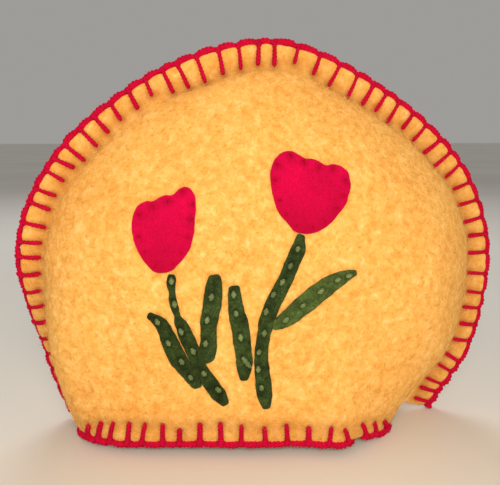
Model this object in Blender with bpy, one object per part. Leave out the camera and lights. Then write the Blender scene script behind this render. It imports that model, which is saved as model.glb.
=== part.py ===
# Tea cosy: two felted wool panels sewn face to face with blanket stitch, with two felt tulips on the front.
# Metres, +Z up. The cosy stands on its hem at z = 0, is widest along X, and its front faces -Y.
import math

import bmesh
import bpy
import numpy as np
from mathutils import Vector
from mathutils.bvhtree import BVHTree

MM = 0.001

# Cloth, yarn and the clearance between pieces that touch
FELT = 3.0 * MM
APPLIQUE_FELT = 1.5 * MM
GAP = 0.3 * MM
APPLIQUE_GAP = 0.4 * MM
SLACK = 0.6 * MM         # more clearance for arms that cross uneven felt
CORD = 2.6 * MM          # how far the yarn on an edge stands out from the felt
SEAM_YARN = 2.2 * MM     # width of one stitch's arm round the seam
HEM_YARN = 2.7 * MM      # and along the hems
SEAM_ARM = 13.0 * MM     # from the cut edge in to an arm's tip
HEM_ARM = 13.0 * MM
ARM_TIP = 1.5 * MM       # width of an arm at its tip, and 1.3 mm thick there
TIP_THICK = 1.3 * MM
SEAM_RUN_ON = 3.5 * MM   # of cord past the first and the last seam stitch

# The body
HEIGHT = 236.0 * MM      # of the felt's cut edge at the top
HEM = 3.2 * MM           # height of the felt's bottom edge, which stands on the yarn
LAP = 15.0 * MM          # flat border sewn together, from the cut edge in to where the panels part
HIP = 60.0 * MM          # height at which the cosy is deepest
HIP_DEPTH = 48.5 * MM    # of one panel there, from the sewn plane
HEM_TUCK = 6.0 * MM      # less deep at the hem
TOP_TUCK = 28.0 * MM     # less deep at the top
LOW_REACH = 100.0 * MM   # how far in from the sewn border the felt is fully deep, at the hem
TOP_REACH = 75.0 * MM    # and at the top
BORDER_EASE = 4.0 * MM   # softens the crease at the border
HEM_LIFT = 4.5 * MM      # the front hem arches off the table
LIFT_FADE = 30.0 * MM
LIFT_X = -22.0 * MM
LIFT_HALF_WIDTH = 88.0 * MM
BUMP = 6.0 * MM          # wave in the front hem, right of the middle
BUMP_X = 32.0 * MM
BUMP_WIDTH = 13.0 * MM
BUMP_FADE = 45.0 * MM
LOW_FADE = 70.0 * MM     # height over which the sides' own shape near the hem fades
SIDE = 60.0 * MM         # from the middle to where a side has its full own shape
RIGHT_SWELL = 0.13       # the front stands out further to the right near the hem, over the first 40 mm
RIGHT_SWELL_LENGTH = 40.0 * MM
LEFT_SHALLOW = 5.5 * MM  # and less far on the left
UNEVEN = 1.2 * MM        # slow waves over both panels

# The lower right corner, where the panels stay pressed together further in than the stitches reach
PINCH = 11.0 * MM
PINCH_HIGH = 28.0 * MM

# The lower left end, whose seam has turned round to the back
TURN = math.radians(50)
TURN_LENGTH = 31.0 * MM  # of felt over which it bends
TURN_HIGH = 118.0 * MM   # the bend fades out up to here
BACK_FLATTENED = 0.5     # share of the back panel's depth lost inside the bend

# Cut edge of a panel on the sewn plane, from the left hem corner over the top to the right one
EDGE = [  # x, z in mm
    (-129, 3.2), (-135, 18), (-140.5, 38), (-145, 64), (-147.5, 90), (-147.8, 113), (-143, 136),
    (-132, 159), (-115, 181), (-90, 202), (-62, 219.5), (-30, 231.5), (4, 236), (36, 227.5),
    (77, 205.7), (109, 181), (128.5, 158.5), (142, 130), (147.2, 100.5), (143.5, 67), (135.5, 39.5),
    (124, 22.5), (115.5, 11), (109, 3.2),
]
COLUMNS = 58             # along the cut edge, with one stitch in each
SIDE_COLUMNS = 15        # of them beside the inner patch on each side
LAYERS = [0, LAP, LAP + 3.5 * MM, LAP + 8.5 * MM, LAP + 16 * MM, LAP + 26 * MM]
CENTRE = [-0.55 * MM, -1.38 * MM]   # of the finished cosy in these lines, moved to x, y = 0
FINE = 400               # points of the smooth edge that depths are measured from
FRONT_HEM_STITCHES = 21
BACK_HEM_STITCHES = 20
FIRST_HEM_STITCH = 8.0 * MM   # from a hem's left end, and the last one's distance from its right end
LAST_HEM_STITCH = 20.0 * MM
CLOSER_ON_THE_LEFT = 1.12     # power that spaces them

# Two tulips: where the foot of the flower is, its greatest half width, how far its middle drifts over its
# height, and the height of its top edge from one side to the other, with three petal tips
TULIPS = {
    "left_tulip": dict(
        foot=(-66, 110), half_width=17.2, drift=2.5,
        top=[(-1.0, 31), (-0.75, 36.5), (-0.5, 36.5), (-0.05, 41), (0.25, 41), (0.6, 45.5), (1.0, 40)],
    ),
    "right_tulip": dict(
        foot=(12.5, 129), half_width=22.5, drift=3.5,
        top=[(-1.0, 38), (-0.75, 43.5), (-0.5, 44), (-0.15, 41), (0.1, 41), (0.5, 36), (0.75, 37), (1.0, 31)],
    ),
}

# Stems and leaves: the middle line and half width of each strip, from one end to the other
LEAVES = {  # x, z, half width in mm
    "left_stem": [
        (-62, 109, 2.0), (-62.2, 105, 2.8), (-62.6, 98.5, 1.4), (-60.8, 93, 2.6), (-60, 88, 1.3), (-58, 83, 2.6),
        (-55.2, 76.5, 3.4), (-51.5, 67, 3.4), (-47.7, 58, 2.9), (-43.5, 50.5, 3.3), (-38, 42, 4.0),
        (-33.6, 35.5, 1.6),
    ],
    "left_outer_leaf": [
        (-74.5, 87.2, 1.3), (-68.9, 83.5, 2.7), (-65, 76, 3.6), (-61.4, 66.5, 4.1), (-57.5, 59, 3.6),
        (-53.6, 53, 3.0), (-49.2, 46, 1.6),
    ],
    "left_inner_leaf": [
        (-39.7, 108.4, 2.4), (-39.6, 104.5, 3.8), (-40.5, 97, 4.5), (-41.9, 88.5, 4.4), (-43, 80, 4.0),
        (-43, 71.5, 3.5), (-42.6, 62.5, 1.5),
    ],
    "middle_leaf": [
        (-29.2, 102, 2.6), (-28.8, 94, 3.4), (-27.4, 85.5, 4.1), (-25.5, 75, 4.5), (-24.3, 65.5, 4.1),
        (-23.8, 57.5, 4.0), (-23.8, 50, 1.6),
    ],
    "right_stem": [
        (9, 128.2, 1.8), (7.6, 122, 3.8), (3, 112, 3.7), (-2, 101.5, 3.7), (-7.2, 93.5, 3.9), (-10.8, 85, 4.0),
        (-13.3, 75.5, 3.2), (-14.8, 67, 3.2), (-14.3, 56, 3.6), (-12.7, 45, 4.2), (-12.5, 38.5, 3.7),
        (-11.2, 32.3, 1.6),
    ],
    "right_leaf": [
        (-6.4, 79.6, 1.6), (-2, 81.8, 3.6), (6, 87.8, 4.8), (16, 95.2, 5.0), (25, 101, 4.5), (33, 105.2, 3.2),
        (39.5, 107, 1.2),
    ],
}


def smooth_step(t):
    t = np.clip(t, 0, 1)
    return t * t * (3 - 2 * t)


def wider_in_the_middle(t):
    """Stitches are a tenth further apart at the top than on average, and closer at the sides."""
    return t - 0.016 * np.sin(2 * np.pi * t)


def through(rows, count, spread=lambda t: t):
    """Points at even distances, or as far apart as spread says, on a smooth curve through the rows."""
    knots = np.array(rows, float)
    run = np.vstack([2 * knots[0] - knots[1], knots, 2 * knots[-1] - knots[-2]])
    t = np.linspace(0, 1, 24, endpoint=False)[:, None]
    pieces = [
        0.5 * (2 * b + (c - a) * t + (2 * a - 5 * b + 4 * c - d) * t**2 + (3 * b - a - 3 * c + d) * t**3)
        for a, b, c, d in zip(run, run[1:], run[2:], run[3:])
    ]
    dense = np.vstack(pieces + [knots[-1:]])
    length = np.concatenate([[0], np.cumsum(np.linalg.norm(np.diff(dense, axis=0), axis=1))])
    places = spread(np.linspace(0, 1, count)) * length[-1]
    return np.stack([np.interp(places, length, column) for column in dense.T], axis=1)


def cut_edge(columns):
    """The cut edge and its inward directions, which lie level at the two hem corners."""
    edge = through(EDGE, columns + 1, wider_in_the_middle) * MM
    along = np.gradient(edge, axis=0)
    along /= np.linalg.norm(along, axis=1)[:, None]
    inward = np.stack([along[:, 1], -along[:, 0]], axis=1)
    from_end = np.minimum(np.arange(columns + 1), np.arange(columns, -1, -1)) / columns
    share = smooth_step(from_end / 0.07)[:, None]
    level = np.stack([-np.sign(edge[:, 0]), np.zeros(columns + 1)], axis=1)
    inward = share * inward + (1 - share) * level
    return edge, inward / np.linalg.norm(inward, axis=1)[:, None]


FINE_EDGE, FINE_INWARD = cut_edge(FINE)
PARTING = FINE_EDGE + FINE_INWARD * LAP
LEFT_HALF = PARTING[: FINE // 2]


def inside_parting(flat):
    """Distance of each x, z from the line where the panels part."""
    best = np.full(len(flat), np.inf)
    for start, step in zip(PARTING, np.diff(PARTING, axis=0)):
        t = np.clip(((flat - start) @ step) / (step @ step), 0, 1)
        best = np.minimum(best, np.linalg.norm(flat - start - t[:, None] * step, axis=1))
    return best


def turn_angle(z):
    return TURN * (1 - np.clip(z / TURN_HIGH, 0, 1) ** 3) ** 1.5


def turned_back(points):
    """Bends the lower left end of the cosy round to the back."""
    x, y, z = points.T
    left = np.interp(z, LEFT_HALF[:, 1], LEFT_HALF[:, 0])
    start = left + TURN_LENGTH
    run = np.maximum(start - x, 0)
    angle = np.maximum(turn_angle(z), 1e-6)
    bend = angle / TURN_LENGTH
    theta = bend * np.minimum(run, TURN_LENGTH)
    beyond = np.maximum(run - TURN_LENGTH, 0)
    back_x = start - np.sin(theta) / bend - beyond * np.cos(theta) + y * np.sin(theta)
    back_y = (1 - np.cos(theta)) / bend + beyond * np.sin(theta) + y * np.cos(theta)
    x = np.where(run > 0, back_x, x) - CENTRE[0]
    y = np.where(run > 0, back_y, y) - CENTRE[1]
    return np.stack([x, y, z], axis=1)


def half_depth(flat, inside, front):
    """How far a panel's middle stands off the sewn plane, beyond its place in the sewn border."""
    x, z = flat.T
    on_right = smooth_step(x / SIDE)
    inside = np.maximum(inside - PINCH * on_right * np.exp(-((z / PINCH_HIGH) ** 2)), 0)
    body = HIP_DEPTH - HEM_TUCK * np.clip(1 - z / HIP, 0, 1) ** 2
    body -= TOP_TUCK * np.clip((z - HIP) / (HEIGHT - HIP), 0, 1) ** 1.6
    low = np.exp(-z / LOW_FADE)
    if front:
        body += low * RIGHT_SWELL * np.clip(x, 0, RIGHT_SWELL_LENGTH)
        body -= low * LEFT_SHALLOW * smooth_step(-x / SIDE)
    reach = LOW_REACH + (TOP_REACH - LOW_REACH) * np.clip(z / HEIGHT, 0, 1)
    roundness = 0.5 + 0.13 * smooth_step(z / (150 * MM)) - 0.17 * low * on_right
    near = inside**2 / (inside + BORDER_EASE)
    depth = body * (1 - (1 - np.clip(near / reach, 0, 1)) ** 2.2) ** roundness
    if front:
        wave = np.exp(-(((x - BUMP_X) / BUMP_WIDTH) ** 2) - z / BUMP_FADE)
        depth += BUMP * wave * smooth_step(inside / (20 * MM))
    else:
        on_left = smooth_step(-x / SIDE) * (1 - smooth_step((inside - TURN_LENGTH) / SIDE))
        depth *= 1 - BACK_FLATTENED * on_left * turn_angle(z) / TURN
    depth += UNEVEN * np.sin(x / (24 * MM) + z / (31 * MM)) * smooth_step(inside / (45 * MM))
    return depth


def hem_lift(x, z, front):
    arch = np.clip(1 - ((x - LIFT_X) / LIFT_HALF_WIDTH) ** 4, 0, 1)
    return HEM_LIFT * arch * np.exp(-z / LIFT_FADE) * front


def flat_grid():
    """x, z of a panel's points: rows inward from the cut edge, and a patch that fills what is left."""
    edge, inward = cut_edge(COLUMNS)
    rings = np.stack([edge + inward * layer for layer in LAYERS])
    last = rings[-1]
    rows = SIDE_COLUMNS
    across = COLUMNS - 2 * SIDE_COLUMNS
    left = last[: rows + 1]
    top = last[rows : rows + across + 1]
    right = last[::-1][: rows + 1]
    u = np.linspace(0, 1, across + 1)[None, :, None]
    v = np.linspace(0, 1, rows + 1)[:, None, None]
    bottom = left[0] + (right[0] - left[0]) * u
    patch = (1 - u) * left[:, None] + u * right[:, None] + (1 - v) * bottom + v * top[None]
    patch -= (1 - u) * (1 - v) * left[0] + u * (1 - v) * right[0] + (1 - u) * v * left[-1] + u * v * right[-1]
    return rings, patch


def panel_points(front):
    """Middle surface of a panel, as the rings' points and the inner patch's points."""
    side = -1 if front else 1
    rings, patch = flat_grid()
    middle = (GAP + FELT) / 2

    def lay(flat):
        shape = flat.shape[:-1]
        flat = flat.reshape(-1, 2)
        depth = half_depth(flat, inside_parting(flat), front)
        z = flat[:, 1] + hem_lift(flat[:, 0], flat[:, 1], front)
        points = np.stack([flat[:, 0], side * (middle + depth), z], axis=1)
        return turned_back(points).reshape(*shape, 3)

    plane = sewn_plane(rings[:2])
    normal = plane_normals(plane)
    border = plane + side * middle * normal
    border[:, [0, -1], 2] = HEM
    return np.concatenate([border, lay(rings[2:])]), lay(patch)


def sewn_plane(flat_rings):
    flat = flat_rings.reshape(-1, 2)
    points = np.stack([flat[:, 0], np.zeros(len(flat)), flat[:, 1]], axis=1)
    return turned_back(points).reshape(*flat_rings.shape[:-1], 3)


def plane_normals(plane):
    """Unit normals of the sewn border, pointing to the back."""
    along = np.gradient(plane, axis=1)
    inward = plane[1] - plane[0]
    normal = np.cross(along, np.broadcast_to(inward, plane.shape))
    normal /= np.linalg.norm(normal, axis=2)[:, :, None]
    return normal * np.sign(normal[:, COLUMNS // 2, 1])[:, None, None]


def felt_material(name, colour, roughness):
    material = bpy.data.materials.new(name)
    material.use_nodes = True
    shader = material.node_tree.nodes["Principled BSDF"]
    shader.inputs["Base Color"].default_value = (*colour, 1)
    shader.inputs["Roughness"].default_value = roughness
    shader.inputs["Metallic"].default_value = 0
    return material


def offsets(points, faces):
    """For each point of a sheet, the step to one side that keeps it one unit thick."""
    shape = bmesh.new()
    corners = [shape.verts.new(p) for p in points]
    for face in faces:
        shape.faces.new([corners[k] for k in face])
    shape.normal_update()
    steps = np.array([corner.normal * min(corner.calc_shell_factor(), 1.4) for corner in corners])
    shape.free()
    return steps


def add_sheet(name, back, face, faces, material):
    """A closed sheet between two layers of points that share their faces."""
    count = len(back)
    walls = {}
    for corners in faces:
        for a, b in zip(corners, corners[1:] + corners[:1]):
            if (b, a) in walls:
                del walls[(b, a)]
            else:
                walls[(a, b)] = (b, a, a + count, b + count)
    closed = [tuple(reversed(corners)) for corners in faces]
    closed += [tuple(k + count for k in corners) for corners in faces] + list(walls.values())
    return add_object(name, np.vstack([back, face]), closed, material)


def add_object(name, points, faces, material):
    mesh = bpy.data.meshes.new(name)
    mesh.from_pydata([tuple(p) for p in points], [], faces)
    shape = bmesh.new()
    shape.from_mesh(mesh)
    bmesh.ops.remove_doubles(shape, verts=shape.verts, dist=0.01 * MM)
    bmesh.ops.recalc_face_normals(shape, faces=shape.faces)
    shape.to_mesh(mesh)
    shape.free()
    mesh.materials.append(material)
    piece = bpy.data.objects.new(name, mesh)
    bpy.context.scene.collection.objects.link(piece)
    return piece


def grid_faces(start, rows, columns):
    """Triangles of a grid whose points run row by row from index start."""
    faces = []
    for r in range(rows - 1):
        for c in range(columns - 1):
            a = start + r * columns + c
            d = a + columns
            faces += [(a, a + 1, d + 1), (a, d + 1, d)]
    return faces


def joined_grid(rings, patch):
    """Points and faces of a panel, whose patch shares its left, top and right rows with the last ring."""
    points = np.vstack([rings.reshape(-1, 3), patch.reshape(-1, 3)])
    rows, columns = patch.shape[:2]
    last = (len(rings) - 1) * (COLUMNS + 1)
    first = len(rings) * (COLUMNS + 1)
    shared = {}
    for r in range(rows):
        shared[first + r * columns] = last + r
        shared[first + r * columns + columns - 1] = last + COLUMNS - r
    for c in range(columns):
        shared[first + (rows - 1) * columns + c] = last + SIDE_COLUMNS + c
    faces = [tuple(reversed(corners)) for corners in grid_faces(first, rows, columns)]
    faces += grid_faces(0, len(rings), COLUMNS + 1)
    faces = [tuple(shared.get(k, k) for k in corners) for corners in faces]
    used = sorted({k for corners in faces for k in corners})
    place = {k: n for n, k in enumerate(used)}
    return points[used], [tuple(place[k] for k in corners) for corners in faces]


def panel(name, front, material):
    rings, patch = panel_points(front)
    hem = np.vstack([rings[1:, 0], patch[0, 1:-1], rings[:0:-1, -1]])
    points, faces = joined_grid(rings, patch)
    step = offsets(points, faces) * FELT / 2
    on_hem = np.min(np.linalg.norm(points[:, None] - hem, axis=2), axis=1) < 0.01 * MM
    on_hem |= points[:, 2] < HEM + 0.01 * MM
    step[on_hem, 2] = 0
    piece = add_sheet(name, points - step, points + step, faces, material)
    piece.data.shade_smooth()
    return piece, hem


TIP_POINTS = 8           # of the two arms of one stitch
SHOULDER = 0.5 * MM      # of cord beside a stitch
SEARCH = 12 * MM         # how far from the hem's line its felt is looked for


# One stitch lies across an edge like a staple, and a cord runs on along the edge to the next.
# Sections are out from the edge and across it; the first two and last two points carry the arms.
def sections(half_thickness, reach):
    """Cord and staple sections for an edge of this half thickness."""
    inner = half_thickness + GAP
    narrow = 0.75 * MM
    wide = 1.5 * MM
    cord = [(GAP * 2, -narrow), (reach / 2, -wide), (reach, -narrow),
            (reach, narrow), (reach / 2, wide), (GAP * 2, narrow)]
    low = inner + 0.7 * MM
    outer = inner + 1.9 * MM
    staple = [(GAP, -inner), (GAP, -outer), (reach, -low), (reach, low), (GAP, outer), (GAP, inner)]
    return cord, staple


def blanket_stitch(name, stitches, half_thickness, reach, width, run_on, material):
    """Stitches hold an origin, unit vectors along, out and across, and the tips of the two arms."""
    cord, staple = sections(half_thickness, reach)
    half = width / 2
    points = []
    faces = []
    for number, stitch in enumerate(stitches):
        before = half + SHOULDER + run_on * (number == 0)
        after = half + SHOULDER + run_on * (number == len(stitches) - 1)
        places = [(-before, cord), (-half, staple), (half, staple), (after, cord)]
        first = len(points)
        for shift, section in places:
            for out, across in section:
                points.append(stitch["origin"] + stitch["along"] * shift
                              + stitch["out"] * out + stitch["across"] * across)
        rings = [first, first + 6, first + 12, first + 18]
        if first:
            rings.insert(0, first - 6 - TIP_POINTS)
        for low, high in zip(rings, rings[1:]):
            for k in range(6):
                n = (k + 1) % 6
                opens_to_an_arm = low == first + 6 and k in (0, 4)
                if not opens_to_an_arm:
                    faces.append((low + k, low + n, high + n, high + k))
        for k, tip in zip((0, 4), stitch["tips"]):
            root = [first + 6 + k, first + 6 + k + 1, first + 12 + k + 1, first + 12 + k]
            cap = list(range(len(points), len(points) + 4))
            points.extend(tip)
            for a in range(4):
                b = (a + 1) % 4
                faces.append((root[a], root[b], cap[b], cap[a]))
            faces.append(tuple(cap))
    last = len(points) - TIP_POINTS - 6
    faces.append(tuple(range(6)))
    faces.append(tuple(range(last, last + 6)))
    return add_object(name, points, faces, material)


def uneven(k):
    """A hand sewer's unevenness for stitch k, from -1 to 1."""
    return math.sin(2.4 * k) * math.cos(1.1 * k + 0.5)


def arm_tip(centre, along, across, side, inner):
    """Four corners of an arm's tip, on one side of the felt and this far from the centre."""
    order = [(0, -1), (1, -1), (1, 1), (0, 1)] if side < 0 else [(1, -1), (0, -1), (0, 1), (1, 1)]
    return [
        centre + across * side * (inner + thick * TIP_THICK) + along * wide * ARM_TIP / 2
        for thick, wide in order
    ]


def seam_stitches():
    rings, _ = flat_grid()
    plane = sewn_plane(rings[:2])
    half = GAP / 2 + FELT + GAP + SLACK
    stitches = []
    for k in range(COLUMNS):
        edge = (plane[0, k] + plane[0, k + 1]) / 2
        root = (plane[1, k] + plane[1, k + 1]) / 2
        along = plane[0, k + 1] - plane[0, k]
        along /= np.linalg.norm(along)
        out = edge - root
        out -= along * (out @ along)
        out /= np.linalg.norm(out)
        across = np.cross(out, along)
        origin = edge + along * uneven(k) * 0.9 * MM
        end = origin - out * (SEAM_ARM + uneven(k + 7) * 0.5 * MM)
        tips = [arm_tip(end, along, across, side, half) for side in (-1, 1)]
        stitches.append(dict(origin=origin, along=along, out=out, across=across, tips=tips))
    return stitches


def hem_stitches(hem, tree, count):
    """Stitches at about even distances along a panel's bottom edge, with arms laid up both its faces."""
    length = np.concatenate([[0], np.cumsum(np.linalg.norm(np.diff(hem, axis=0), axis=1))])
    share = np.linspace(0, 1, count) ** CLOSER_ON_THE_LEFT
    places = FIRST_HEM_STITCH + (length[-1] - FIRST_HEM_STITCH - LAST_HEM_STITCH) * share
    stitches = []
    for k, place in enumerate(places):
        place += uneven(k) * 0.9 * MM
        piece = min(np.searchsorted(length, place) - 1, len(hem) - 2)
        step = hem[piece + 1] - hem[piece]
        origin = hem[piece] + step * (place - length[piece]) / np.linalg.norm(step)
        along = np.array([step[0], step[1], 0.0])
        along /= np.linalg.norm(along)
        across = np.array([along[1], -along[0], 0.0])
        up = HEM_ARM + uneven(k + 3) * 0.8 * MM
        tips = []
        top = origin + np.array([0, 0, up])
        for side in (-1, 1):
            start = Vector(top + across * side * SEARCH)
            _, _, _, far = tree.ray_cast(start, Vector(-across * side), 2 * SEARCH)
            tips.append(arm_tip(top, along, across, side, SEARCH - far + GAP + SLACK))
        stitches.append(dict(origin=origin, along=along, out=np.array([0, 0, -1.0]), across=across, tips=tips))
    return stitches


def laid_on(tree, flat):
    """Two layers of an applique over points x, z of the front: the side on the panel, and the outer one."""
    back = []
    face = []
    for x, z in flat:
        hit, normal, _, _ = tree.ray_cast(Vector((x - CENTRE[0], -200 * MM, z)), Vector((0, 1, 0)))
        hit = np.array(hit)
        normal = np.array(normal)
        back.append(hit + normal * APPLIQUE_GAP)
        face.append(hit + normal * (APPLIQUE_GAP + APPLIQUE_FELT))
    return np.array(back), np.array(face)


def leaf(name, rows, tree, material):
    """A strip of felt along its middle line."""
    steps = 13
    line = through(rows, steps) * MM
    along = np.gradient(line[:, :2], axis=0)
    along /= np.linalg.norm(along, axis=1)[:, None]
    aside = np.stack([-along[:, 1], along[:, 0]], axis=1) * line[:, 2:]
    flat = np.stack([line[:, :2] - aside, line[:, :2], line[:, :2] + aside], axis=1)
    add_sheet(name, *laid_on(tree, flat.reshape(-1, 2)), grid_faces(0, steps, 3), material)


def tulip(name, shape, tree, material):
    """A flower that widens up from its foot, a third as wide as the bud, to three petal tips."""
    columns = 13
    rows = 7
    foot_share = 0.33
    widest = 0.6
    drawn_in = 0.13
    u = np.linspace(-1, 1, columns)[None]
    v = np.linspace(0, 1, rows)[:, None]
    place, height = np.array(shape["top"]).T
    tops = np.interp(u, place, height)
    half_width = foot_share + (1 - foot_share) * np.sin(np.pi / 2 * np.minimum(v / widest, 1))
    half_width *= shape["half_width"] * (1 - drawn_in * np.maximum((v - widest) / (1 - widest), 0) ** 2)
    x = shape["foot"][0] + shape["drift"] * v + half_width * u
    z = shape["foot"][1] + tops * v + 1.5 * u**2 * (1 - v)
    flat = np.stack([x, z], axis=2).reshape(-1, 2) * MM
    add_sheet(name, *laid_on(tree, flat), grid_faces(0, rows, columns), material)


def clear_scene():
    for piece in list(bpy.data.objects):
        bpy.data.objects.remove(piece)


def main():
    clear_scene()
    yellow = felt_material("yellow_felt", (0.86, 0.46, 0.12), 0.95)
    red_yarn = felt_material("red_yarn", (0.58, 0.01, 0.05), 0.9)
    red_felt = felt_material("red_felt", (0.72, 0.0, 0.06), 0.9)
    green_felt = felt_material("green_felt", (0.03, 0.11, 0.03), 0.95)

    front, front_hem = panel("front_panel", True, yellow)
    back, back_hem = panel("back_panel", False, yellow)
    bpy.context.view_layer.update()
    depsgraph = bpy.context.evaluated_depsgraph_get()
    front_tree = BVHTree.FromObject(front, depsgraph)
    back_tree = BVHTree.FromObject(back, depsgraph)

    seam = seam_stitches()
    blanket_stitch("seam_stitching", seam, GAP / 2 + FELT, CORD + GAP, SEAM_YARN, SEAM_RUN_ON, red_yarn)
    front_row = hem_stitches(front_hem, front_tree, FRONT_HEM_STITCHES)
    blanket_stitch("front_hem_stitching", front_row, FELT / 2 + SLACK, HEM, HEM_YARN, 0, red_yarn)
    back_row = hem_stitches(back_hem, back_tree, BACK_HEM_STITCHES)
    blanket_stitch("back_hem_stitching", back_row, FELT / 2 + SLACK, HEM, HEM_YARN, 0, red_yarn)
    for name, shape in TULIPS.items():
        tulip(name, shape, front_tree, red_felt)
    for name, rows in LEAVES.items():
        leaf(name, rows, front_tree, green_felt)


main()
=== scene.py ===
# %% [markdown]
# # A tea cosy of felted wool
# Two half-oval panels of thick yellow felt are sewn face to face with crimson blanket stitch, and two felt
# tulips sit on the front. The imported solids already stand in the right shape, so this lesson dresses them:
# soft felt that puffs up between the stitches, twisted yarn, sewn-on flowers, and the wool's fuzz.

# %% Load the frame
import math

import bpy
import numpy as np
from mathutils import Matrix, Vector
from mathutils.bvhtree import BVHTree
from mathutils.kdtree import KDTree


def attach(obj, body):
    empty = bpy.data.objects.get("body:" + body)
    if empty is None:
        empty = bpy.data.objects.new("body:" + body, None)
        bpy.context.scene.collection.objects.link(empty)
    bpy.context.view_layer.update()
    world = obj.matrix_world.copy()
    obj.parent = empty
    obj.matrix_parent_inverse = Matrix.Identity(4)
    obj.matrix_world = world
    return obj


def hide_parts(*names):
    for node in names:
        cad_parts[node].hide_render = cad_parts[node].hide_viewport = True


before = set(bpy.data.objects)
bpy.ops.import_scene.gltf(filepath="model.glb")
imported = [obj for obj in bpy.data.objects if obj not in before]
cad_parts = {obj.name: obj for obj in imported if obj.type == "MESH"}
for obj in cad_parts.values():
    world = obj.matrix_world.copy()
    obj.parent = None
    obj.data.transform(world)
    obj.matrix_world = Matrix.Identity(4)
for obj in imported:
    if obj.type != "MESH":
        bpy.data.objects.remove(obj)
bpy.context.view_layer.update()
MM = 0.001
random = np.random.default_rng(11)
print("nodes:", sorted(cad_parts))

# %% [markdown]
# ## Camera
# The cosy was photographed from a seat at the table: from 0.37 m in front of it, a little to the left, and
# looking down by nine and a half degrees. A 45 mm lens gives the same widening towards the camera.

# %% Set up the camera
CAMERA_PLACE = Vector((-77.0, -372.8, 181.0)) * MM
CAMERA_TURN = math.radians(10)
CAMERA_DOWN = math.radians(9.5)

bpy.ops.object.camera_add(location=CAMERA_PLACE, rotation=(math.pi / 2 - CAMERA_DOWN, 0, -CAMERA_TURN))
camera = bpy.context.object
camera.data.lens = 45
camera.data.sensor_width = 36
camera.data.clip_start = 0.01
bpy.context.scene.camera = camera

# %% [markdown]
# ## Small helpers
# An operator works on everything that is selected, so each step starts from nothing selected. A colour is
# easiest to read as a hex value, but shaders want linear numbers, so one function turns one into the other.
# Another adds a shader node with its settings and links, so that a material reads like a recipe.


# %% Helpers
def only(thing):
    """Selects this object alone and makes it the active one."""
    bpy.ops.object.select_all(action="DESELECT")
    thing.select_set(True)
    bpy.context.view_layer.objects.active = thing
    return thing


def linear(hex_colour):
    values = [int(hex_colour[k : k + 2], 16) / 255 for k in (1, 3, 5)]
    return [v / 12.92 if v <= 0.04045 else ((v + 0.055) / 1.055) ** 2.4 for v in values] + [1.0]


def add(material, kind, inputs=None, **settings):
    """Adds a node; inputs are by name or number, and a value that is a socket is linked."""
    node = material.node_tree.nodes.new(kind)
    for name, value in settings.items():
        setattr(node, name, value)
    for key, value in (inputs or {}).items():
        if isinstance(value, bpy.types.NodeSocket):
            material.node_tree.links.new(value, node.inputs[key])
        else:
            node.inputs[key].default_value = value
    return node


def new_material(name, roughness, sheen=0.0, sheen_tint="#FFFFFF"):
    material = bpy.data.materials.new(name)
    material.use_nodes = True
    shader = material.node_tree.nodes["Principled BSDF"]
    shader.inputs["Roughness"].default_value = roughness
    shader.inputs["Specular IOR Level"].default_value = 0.1
    shader.inputs["Sheen Weight"].default_value = sheen
    shader.inputs["Sheen Roughness"].default_value = 0.6
    shader.inputs["Sheen Tint"].default_value = linear(sheen_tint)
    return material, shader


def ramp(material, factor, stops):
    """A colour ramp through (place, hex colour) stops."""
    node = add(material, "ShaderNodeValToRGB", {"Fac": factor})
    node.color_ramp.elements[0].position = stops[0][0]
    node.color_ramp.elements[0].color = linear(stops[0][1])
    node.color_ramp.elements[1].position = stops[-1][0]
    node.color_ramp.elements[1].color = linear(stops[-1][1])
    for place, colour in stops[1:-1]:
        node.color_ramp.elements.new(place).color = linear(colour)
    return node.outputs["Color"]


def noise(material, size, detail=3.0, roughness=0.55, distortion=0.0):
    """Noise whose lumps are this size, in metres, on the object's own coordinates."""
    place = add(material, "ShaderNodeTexCoord").outputs["Object"]
    return add(material, "ShaderNodeTexNoise", {
        "Vector": place, "Scale": 1 / size, "Detail": detail, "Roughness": roughness,
        "Distortion": distortion,
    }).outputs["Fac"]


def mixed(material, factor, a, b, blend="MIX"):
    node = add(material, "ShaderNodeMix", data_type="RGBA", blend_type=blend)
    for key, value in ((0, factor), (6, a), (7, b)):
        if isinstance(value, bpy.types.NodeSocket):
            material.node_tree.links.new(value, node.inputs[key])
        else:
            node.inputs[key].default_value = value
    return node.outputs[2]


def bumped(material, shader, layers):
    """Stacks bumps of (height socket, depth in metres, strength) on the shader's normal."""
    normal = None
    for height, depth, strength in layers:
        inputs = {"Height": height, "Distance": depth, "Strength": strength}
        if normal:
            inputs["Normal"] = normal
        normal = add(material, "ShaderNodeBump", inputs).outputs["Normal"]
    material.node_tree.links.new(normal, shader.inputs["Normal"])


def paint(piece, material):
    piece.data.materials.clear()
    piece.data.materials.append(material)
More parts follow.
